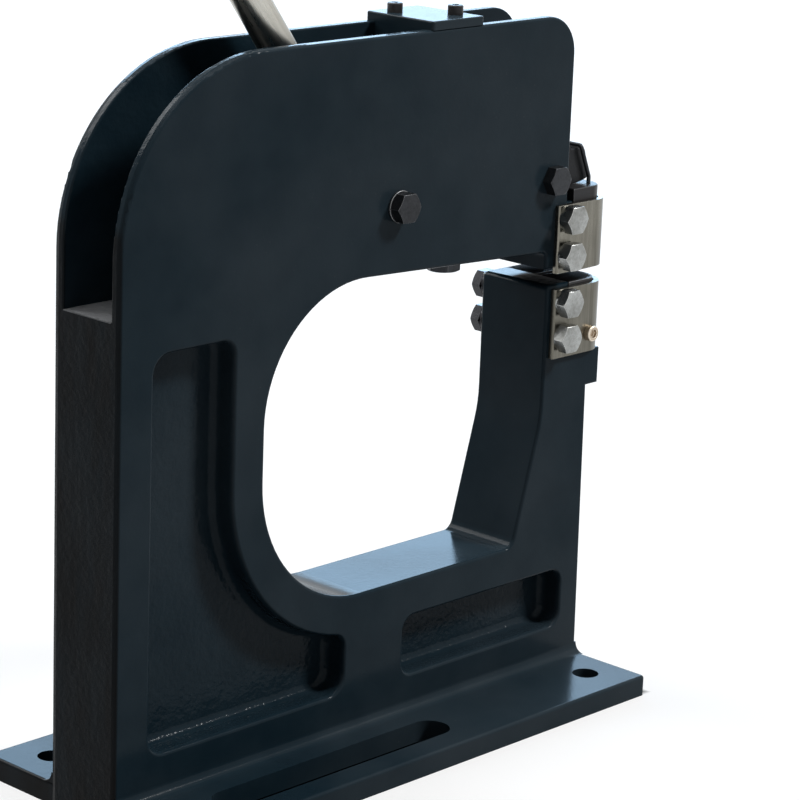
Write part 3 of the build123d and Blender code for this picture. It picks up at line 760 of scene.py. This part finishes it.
class WoundWire(GeometryTree):
    """A wire or a thread wound round Z, closer at its ends if asked."""

    STEPS_PER_TURN = 40

    def __init__(self) -> None:
        """Wire the tree: a spiral, its rise eased at both ends, swept by a round or three-sided wire."""
        numbers = ("Turns", "Radius", "Rise", "Wire Radius", "End Closing")
        super().__init__("wound_wire", numbers, ("Wire Sides",))
        given = self.given
        spiral = self.add(
            "GeometryNodeCurveSpiral", Resolution=self.STEPS_PER_TURN, Rotations=given["Turns"],
            Start_Radius=given["Radius"], End_Radius=given["Radius"], Height=given["Rise"],
        )
        share = self.maths("DIVIDE", self.position()[2], given["Rise"])
        wave = self.maths("SINE", self.maths("MULTIPLY", share, 2 * math.pi))
        # With an end closing of 1 the wire is level at both ends.
        swing = self.maths("MULTIPLY", given["End Closing"], -0.5 / math.pi)
        reach = self.maths("MULTIPLY", given["Rise"], swing)
        shift = self.add("ShaderNodeCombineXYZ", Z=self.maths("MULTIPLY", wave, reach))
        eased = self.add("GeometryNodeSetPosition", Geometry=spiral.outputs[0], Offset=shift.outputs[0])
        section = self.circle(given["Wire Sides"], given["Wire Radius"])
        self.close(self.swept(eased.outputs[0], section))


class ToothField(GeometryTree):
    """Rows of small pyramids, as cut into a gripping jaw."""

    SIDES = 4

    def __init__(self) -> None:
        """Wire the tree: a grid of points, less those past one round corner, with a pyramid on each."""
        numbers = ("Length", "Width", "Tooth Radius", "Tooth Height", "Corner Radius", "Corner Side")
        super().__init__("tooth_field", numbers, ("Columns", "Rows"))
        given = self.given
        grid = self.add(
            "GeometryNodeMeshGrid", Size_X=given["Length"], Size_Y=given["Width"],
            Vertices_X=given["Columns"], Vertices_Y=given["Rows"],
        )
        tooth = self.add(
            "GeometryNodeMeshCone", Vertices=self.SIDES, Radius_Top=0.0,
            Radius_Bottom=given["Tooth Radius"], Depth=given["Tooth Height"],
        )
        along, across, _ = self.position()
        side = self.maths("MULTIPLY", across, given["Corner Side"])
        past = self.add(
            "ShaderNodeCombineXYZ", X=self._past(along, given["Length"]), Y=self._past(side, given["Width"])
        )
        cut = self.maths("GREATER_THAN", self.length(past.outputs[0]), given["Corner Radius"])
        kept = self.add("GeometryNodeDeleteGeometry", Geometry=grid.outputs[0], Selection=cut)
        field = self.add(
            "GeometryNodeInstanceOnPoints", Points=kept.outputs[0], Instance=tooth.outputs[0],
            Rotation=(0.0, 0.0, math.pi / self.SIDES),
        )
        self.close(field.outputs[0])

    def _past(self, place: Socket, size: Socket) -> Socket:
        """How far a point lies past the middle of the corner's arc, along one edge.

        Args:
            place: The point's coordinate from the field's middle.
            size: The field's size that way.

        Returns:
            The distance, or 0 before the arc.
        """
        arc = self.maths("SUBTRACT", self.maths("MULTIPLY", size, 0.5), self.given["Corner Radius"])
        return self.maths("MAXIMUM", self.maths("SUBTRACT", place, arc), 0.0)


class RingStack(GeometryTree):
    """A row of round rings along Z."""

    RING_STEPS = 64
    BEAD_STEPS = 10

    def __init__(self) -> None:
        """Wire the tree: points on a line, one swept ring on each."""
        super().__init__("ring_stack", ("Pitch", "Ring Radius", "Bead Radius"), ("Count",))
        given = self.given
        step = self.add("ShaderNodeCombineXYZ", Z=given["Pitch"])
        line = self.add("GeometryNodeMeshLine", Count=given["Count"], Offset=step.outputs[0])
        bead = self.circle(self.BEAD_STEPS, given["Bead Radius"])
        ring = self.swept(self.circle(self.RING_STEPS, given["Ring Radius"]), bead)
        stack = self.add("GeometryNodeInstanceOnPoints", Points=line.outputs[0], Instance=ring)
        self.close(stack.outputs[0])


class Workshop:
    """What every sub-assembly is made with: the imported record, the finishes and the node trees."""

    SHARP = math.radians(38.0)
    FLAT = math.radians(0.5)
    WELD = 0.002 * MM
    EDGE_STEPS = 2

    def __init__(self) -> None:
        """Make the finishes and the trees, and read each node's body and slot and the joints."""
        record = frame["record"]
        behaviour = record["behaviour"]
        self.slots = {row["node"]: row["material_slot"] for row in record["subparts"]}
        self.bodies = {node: body for body, nodes in behaviour["bodies"].items() for node in nodes}
        self.joints = {row["name"]: row for row in behaviour["joints"]}
        self.materials = Paintbox().materials
        self.winder = WoundWire()
        self.cutter = ToothField()
        self.rings = RingStack()

    def pivot(self, joint: str) -> Vector:
        """Point on a joint's axis."""
        return Vector(self.joints[joint]["pos_m"])

    def dress(self, *nodes: str) -> None:
        """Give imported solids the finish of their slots.

        Args:
            nodes: Names of the solids.
        """
        for node in nodes:
            solid = frame["nodes"][node]
            solid.data.materials.clear()
            solid.data.materials.append(self.materials[self.slots[node]])
            LOG.info("dressed %s in %s", node, self.slots[node])

    def keep(self, piece: bpy.types.Object, body: str, stands_for: str | None = None) -> None:
        """Let a new piece ride on its body.

        Args:
            piece: The piece.
            body: The body that carries it.
            stands_for: The node that it replaces, if any.
        """
        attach(piece, body)
        if stands_for is not None:
            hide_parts(stands_for)
        LOG.info("made %s on %s with %d faces", piece.name, body, len(piece.data.polygons))

    def break_edges(self, width: float, *nodes: str) -> None:
        """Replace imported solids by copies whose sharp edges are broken.

        Args:
            width: Width of the broken edge in metres.
            nodes: Names of the solids.
        """
        for node in nodes:
            piece = new_object(f"{node}_edged", self._merged(node))
            bevel = piece.modifiers.new("broken_edges", "BEVEL")
            bevel.width = width
            bevel.segments = self.EDGE_STEPS
            bevel.limit_method = "ANGLE"
            bevel.angle_limit = self.SHARP
            bevel.material = 1
            piece.modifiers.new("even_shade", "WEIGHTED_NORMAL").keep_sharp = True
            self._mark_edges(settle(piece))
            self.keep(piece, self.bodies[node], node)

    def _merged(self, node: str) -> bpy.types.Mesh:
        """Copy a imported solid's mesh with its triangles joined into whole faces.

        Args:
            node: Name of the solid.

        Returns:
            The joined mesh, with its finish twice: for its faces and for its edges.
        """
        shape = bmesh.new()
        shape.from_mesh(frame["nodes"][node].data)
        bmesh.ops.remove_doubles(shape, verts=shape.verts, dist=self.WELD)
        bmesh.ops.dissolve_limit(
            shape, angle_limit=self.FLAT, verts=shape.verts, edges=shape.edges, delimit=set()
        )
        for face in shape.faces:
            face.smooth = True
            face.material_index = 0
        mesh = bpy.data.meshes.new(f"{node}_edged")
        shape.to_mesh(mesh)
        shape.free()
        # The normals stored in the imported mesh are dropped, so that the edged copy gets its own.
        if "custom_normal" in mesh.attributes:
            mesh.attributes.remove(mesh.attributes["custom_normal"])
        for _ in range(2):
            mesh.materials.append(self.materials[self.slots[node]])
        return mesh

    def _mark_edges(self, mesh: bpy.types.Mesh) -> None:
        """Note on each face whether it is a broken edge, and keep one finish.

        Args:
            mesh: A mesh whose broken edges have the second of its two finishes.
        """
        marks = mesh.attributes.new(EDGE_FACE, "FLOAT", "FACE")
        for face in mesh.polygons:
            marks.data[face.index].value = float(face.material_index)
            face.material_index = 0
        mesh.materials.pop(index=1)


@dataclass(frozen=True)
class Thread:
    """One stretch of thread that shows on a bolt or bar."""

    name: str
    body: str
    slot: str
    start: Vector
    along: Vector
    diameter: float
    length: float
    pitch: float
    sink: float = 0.2 * MM
    ridge_per_pitch: float = 0.42
    ridge_sides: int = 3

    def wind(self, shop: Workshop) -> None:
        """Wind the thread round its bolt.

        Args:
            shop: The finishes and trees.
        """
        thread = shop.winder.piece(
            self.name, Matrix.Translation(self.start) @ upright_to(self.along),
            Turns=self.length / self.pitch, Radius=self.diameter / 2 - self.sink, Rise=self.length,
            Wire_Radius=self.ridge_per_pitch * self.pitch, Wire_Sides=self.ridge_sides,
            End_Closing=0.0, Finish=shop.materials[self.slot],
        )
        shop.keep(thread, self.body)


@dataclass
class FrameCasting:
    """C frame with its base, the plate on its bridge and the plate's screws."""

    screw_edge: float = 0.25 * MM

    def build(self, shop: Workshop) -> None:
        """Dress the casting and its plate, and break the edges of the plate's screws."""
        shop.dress("frame_casting", "top_plate")
        shop.break_edges(self.screw_edge, "top_plate_screws")


@dataclass
class Pivots:
    """Pivot bolts, the stop bolt under the arm, and what is on them."""

    edge: float = 0.3 * MM
    bolt_diameter: float = 7.9 * MM
    bolt_pitch: float = 1.0 * MM
    stop_diameter: float = 9.5 * MM
    stop_pitch: float = 1.6 * MM
    from_nut: float = 0.3 * MM
    bare_pitches: float = 0.6

    def build(self, shop: Workshop) -> None:
        """Break the edges of the heads and nuts, dress the sleeves and wind the threads.

        Args:
            shop: The finishes and trees.
        """
        shop.break_edges(self.edge, "main_pivot_bolt", "main_pivot_nut", "main_pivot_washers")
        shop.break_edges(self.edge, "front_pivot_bolt", "front_pivot_nut", "stop_bolt", "stop_lock_nut")
        shop.dress("main_pivot_sleeve", "front_pivot_sleeve", "hub_spacers", "rocker_spacers")
        across, up = Vector((0, 1, 0)), Vector((0, 0, 1))
        for name, joint in (("main_pivot", "handle_swing"), ("front_pivot", "rocker_tilt")):
            bolt = (f"{name}_bolt", f"{name}_nut", shop.pivot(joint))
            self._thread(shop, *bolt, across, self.bolt_diameter, self.bolt_pitch)
        low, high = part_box("stop_bolt")
        bolt = ("stop_bolt", "stop_lock_nut", (low + high) / 2)
        self._thread(shop, *bolt, up, self.stop_diameter, self.stop_pitch)

    def _thread(
        self, shop: Workshop, bolt: str, nut: str, centre: Vector, along: Vector, diameter: float,
        pitch: float,
    ) -> None:
        """Wind the thread that stands out of a nut.

        Args:
            shop: The finishes and trees.
            bolt: The bolt's node.
            nut: The nut's node.
            centre: A point on the bolt's axis.
            along: Direction out of the nut.
            diameter: Outer diameter of the thread.
            pitch: Distance between its turns.
        """
        nut_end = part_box(nut)[1].dot(along) + self.from_nut
        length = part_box(bolt)[1].dot(along) - nut_end - self.bare_pitches * pitch
        start = centre + along * (nut_end - centre.dot(along))
        Thread(f"{bolt}_thread", "frame", "pivot_dark", start, along, diameter, length, pitch).wind(shop)


@dataclass
class HandleLever:
    """Handle: hub with its bush, bar, lock nut and grip."""

    edge: float = 0.5 * MM
    offset: float = 1.3 * MM
    bar_diameter: float = 15.9 * MM
    thread_from: float = 57.3 * MM
    thread_length: float = 14.0 * MM
    thread_pitch: float = 2.0 * MM
    collar_from: float = 365.0 * MM
    collar_radius: float = 12.5 * MM
    collar_bead: float = 1.1 * MM
    collar_pitch: float = 3.4 * MM
    collar_rings: int = 3

    def build(self, shop: Workshop) -> None:
        """Break the castings' edges, dress the bar and add its thread and the grip's collar.

        Args:
            shop: The finishes and trees.
        """
        shop.break_edges(self.edge, "handle_hub", "handle_lock_nut")
        shop.dress("handle_hub_bush", "handle_rod", "handle_grip")
        along = Vector((-math.sin(HANDLE_LEAN), 0.0, math.cos(HANDLE_LEAN)))
        aside = Vector((-math.cos(HANDLE_LEAN), 0.0, -math.sin(HANDLE_LEAN))) * self.offset
        foot = shop.pivot("handle_swing") + aside
        Thread(
            "bar_thread", "handle", "handle_chrome", foot + along * self.thread_from, along,
            self.bar_diameter, self.thread_length, self.thread_pitch,
        ).wind(shop)
        collar = shop.rings.piece(
            "grip_collar", Matrix.Translation(foot + along * self.collar_from) @ upright_to(along),
            Count=self.collar_rings, Pitch=self.collar_pitch, Ring_Radius=self.collar_radius,
            Bead_Radius=self.collar_bead, Finish=shop.materials["grip_black"],
        )
        shop.keep(collar, "handle")


@dataclass
class RockerAndSpring:
    """Rocker on the front pivot, and the coil spring on its tail."""

    edge: float = 0.5 * MM
    wire: float = 2.4 * MM
    wire_sides: int = 14
    turns: float = 9.0
    end_closing: float = 0.6

    def build(self, shop: Workshop) -> None:
        """Break the rocker's edges, and wind the spring in place of its solid.

        The coil's end stays level, and the coil fills the height of the spring's solid.

        Args:
            shop: The finishes and trees.
        """
        shop.break_edges(self.edge, "rocker_arm")
        shop.dress("rocker_bush")
        low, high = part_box("return_spring")
        middle = (low + high) / 2
        coil = shop.winder.piece(
            "return_coil", Matrix.Translation((middle.x, middle.y, low.z + self.wire / 2)),
            Turns=self.turns, Radius=(high.y - low.y - self.wire) / 2, Rise=high.z - low.z - self.wire,
            Wire_Radius=self.wire / 2, Wire_Sides=self.wire_sides, End_Closing=self.end_closing,
            Finish=shop.materials["spring_steel"],
        )
        shop.keep(coil, "frame", "return_spring")
        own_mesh(coil)


@dataclass
class JawHead:
    """Casings with their bolts, ram, bail, wedge, and the four toothed jaws."""

    sheet_edge: float = 0.4 * MM
    bolt_edge: float = 0.35 * MM
    jaw_edge: float = 0.2 * MM
    margin: float = 1.2 * MM
    corner: float = 8.7 * MM
    pitch: float = 1.15 * MM
    tooth_per_pitch: float = 0.68
    height: float = 0.32 * MM

    def build(self, shop: Workshop) -> None:
        """Break the edges of the casings, bolts, ram and jaws, and cut the jaws' teeth.

        Args:
            shop: The finishes and trees.
        """
        shop.break_edges(self.sheet_edge, "upper_casing", "lower_casing", "ram_block", "lower_wedge")
        shop.break_edges(self.bolt_edge, "upper_casing_bolts", "lower_casing_bolts", "lower_casing_screw")
        shop.dress("upper_casing_washers", "lower_casing_washers", "wire_bail")
        for side in Side:
            for level in Level:
                shop.break_edges(self.jaw_edge, f"{level.value}_jaw_{side.name.lower()}")
                self._teeth(shop, side, level)

    def _teeth(self, shop: Workshop, side: Side, level: Level) -> None:
        """Cut one jaw's teeth.

        Args:
            shop: The finishes and trees.
            side: Side of the machine.
            level: Upper or lower jaw.
        """
        name = side.name.lower()
        low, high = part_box(f"{level.value}_jaw_{name}")
        middle = (low + high) / 2
        middle.z = low.z if level is Level.UPPER else high.z
        turn = Matrix.Rotation(math.pi, 4, "X") if level is Level.UPPER else Matrix.Identity(4)
        length = high.x - low.x - 2 * self.margin
        width = high.y - low.y - 2 * self.margin
        teeth = shop.cutter.piece(
            f"{level.value}_{name}_teeth", Matrix.Translation(middle) @ turn, Length=length,
            Width=width, Columns=round(length / self.pitch) + 1, Rows=round(width / self.pitch) + 1,
            Tooth_Radius=self.tooth_per_pitch * self.pitch, Tooth_Height=self.height,
            Corner_Radius=self.corner - self.margin,
            Corner_Side=float(-side.value if level is Level.UPPER else side.value),
            Finish=shop.materials["jaw_steel"],
        )
        shop.keep(teeth, f"{level.value}_{name}")


@dataclass(frozen=True)
class Softbox:
    """One soft lamp of the studio."""

    name: str
    place: Point
    width: float
    height: float
    power: float
    tint: Colour = WHITE
    aim: Point = (0.0, 0.0, 0.18)

    def hang(self) -> None:
        """Hang the lamp so that it looks at the machine."""
        data = bpy.data.lights.new(self.name, "AREA")
        data.shape = "RECTANGLE"
        data.size = self.width
        data.size_y = self.height
        data.energy = self.power
        data.color = self.tint
        lamp = new_object(self.name, data)
        lamp.visible_camera = False
        turn = (Vector(self.aim) - Vector(self.place)).to_track_quat("-Z", "Y")
        lamp.matrix_world = Matrix.Translation(self.place) @ turn.to_matrix().to_4x4()


@dataclass
class Studio:
    """White studio: floor, soft lamps, pale surroundings and the camera of the photo."""

    camera_at: Point = (-924.60 * MM, -899.58 * MM, 512.02 * MM)
    yaw: float = math.radians(43.0385769)
    pitch: float = math.radians(15.2382629)
    roll: float = math.radians(-2.1828764)
    lens: float = 134.178
    sensor: float = 36.0
    near_clip: float = 50.0 * MM
    floor_size: float = 40.0
    floor_tone: float = 0.28
    floor_roughness: float = 0.9
    floor_glow: Span = (0.66, 1.0)
    glow_from: Span = (1.0, 4.5)
    shade_edge: float = 4.0 * MM
    sky: float = 0.08
    sky_tint: Colour = (0.95, 0.97, 1.0)
    lamps: tuple[Softbox, ...] = (
        Softbox("key_softbox", (2.8, -2.8, 4.07), 0.9, 0.9, 230.0),
        Softbox("top_softbox", (-0.3, 0.2, 2.9), 2.0, 2.0, 46.0),
        Softbox("front_softbox", (0.0, -1.7, 0.25), 1.8, 0.5, 0.8),
        Softbox("back_panel", (1.95, 1.80, 1.15), 2.8, 0.9, 50.0, (0.42, 0.70, 1.0)),
        Softbox("rim_panel", (-0.6, 2.0, 2.1), 1.4, 1.4, 50.0),
    )

    def build(self, low: Vector, high: Vector) -> None:
        """Set up the view, the light and the floor.

        Args:
            low: Lowest corner of the casting that stands on the floor.
            high: Its highest corner.
        """
        bpy.context.scene.view_settings.view_transform = "Standard"
        self._camera()
        self._surroundings()
        self._floor(low, high)
        for lamp in self.lamps:
            lamp.hang()

    def _camera(self) -> None:
        """Stand the camera where the photo was taken from."""
        flat = math.cos(self.pitch)
        ahead = Vector((math.cos(self.yaw) * flat, math.sin(self.yaw) * flat, -math.sin(self.pitch)))
        level = Vector((math.sin(self.yaw), -math.cos(self.yaw), 0.0))
        below = ahead.cross(level)
        right = math.cos(self.roll) * level + math.sin(self.roll) * below
        down = -math.sin(self.roll) * level + math.cos(self.roll) * below
        turn = Matrix((right, -down, -ahead)).transposed().to_4x4()
        data = bpy.data.cameras.new("photo_camera")
        data.lens = self.lens
        data.sensor_width = self.sensor
        data.clip_start = self.near_clip
        data.dof.use_dof = False
        camera = new_object("photo_camera", data)
        camera.matrix_world = Matrix.Translation(self.camera_at) @ turn
        bpy.context.scene.camera = camera

    def _surroundings(self) -> None:
        """Light the scene evenly, and show white to the camera and in reflections."""
        world = bpy.data.worlds.new("white_studio")
        world.use_nodes = True
        sheet = NodeSheet(world.node_tree)
        sheet.tree.nodes.clear()
        light = sheet.add("ShaderNodeBackground", Color=self.sky_tint, Strength=self.sky)
        white = sheet.add("ShaderNodeBackground", Color=WHITE, Strength=1.0)
        both = sheet.add("ShaderNodeMixShader")
        for socket, value in zip(both.inputs, (sheet.looked_at(), light.outputs[0], white.outputs[0])):
            sheet.feed(socket, value)
        sheet.feed(sheet.add("ShaderNodeOutputWorld").inputs["Surface"], both.outputs[0])
        bpy.context.scene.world = world

    def _floor(self, low: Vector, high: Vector) -> None:
        """Lay a plain pale floor that takes the machine's shadow, with painted shade below its base, where
        the floor is black and does not glow.

        Args:
            low: Lowest corner of the casting that stands on the floor.
            high: Its highest corner.
        """
        half = self.floor_size / 2
        corners = [(-half, -half, 0), (half, -half, 0), (half, half, 0), (-half, half, 0)]
        mesh = bpy.data.meshes.new("floor")
        mesh.from_pydata(corners, [], [(0, 1, 2, 3)])
        floor = new_object("floor", mesh)
        sheet = FinishSheet("floor_white")
        glow = sheet.spread(sheet.length(sheet.place), self.glow_from, self.floor_glow)
        clear = []
        for axis, place in enumerate(sheet.axes(sheet.place)[:2]):
            middle, reach = (low[axis] + high[axis]) / 2, (high[axis] - low[axis]) / 2
            away = sheet.maths("ABSOLUTE", sheet.maths("SUBTRACT", place, middle))
            clear.append(sheet.spread(away, (reach - self.shade_edge, reach)))
        # Painted shade: under the base's footprint the floor is black and its glow is off.
        open_floor = sheet.maths("MAXIMUM", *clear)
        glow = sheet.maths("MULTIPLY", glow, open_floor)
        mesh.materials.append(
            sheet.surface(
                Base_Color=sheet.mix(open_floor, BLACK, (self.floor_tone,) * 3),
                Roughness=self.floor_roughness, Specular_IOR_Level=0.0, Emission_Color=WHITE,
                Emission_Strength=sheet.maths("MULTIPLY", sheet.looked_at(), glow),
            )
        )


def main() -> None:
    """Set up the studio, then build and dress the machine's sub-assemblies in order."""
    logging.basicConfig(level=logging.INFO)
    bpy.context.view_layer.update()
    shop = Workshop()
    Studio().build(*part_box("frame_casting"))
    for assembly in (FrameCasting(), Pivots(), HandleLever(), RockerAndSpring(), JawHead()):
        assembly.build(shop)
        LOG.info("finished %s", type(assembly).__name__)


if __name__ == "__main__":
    main()
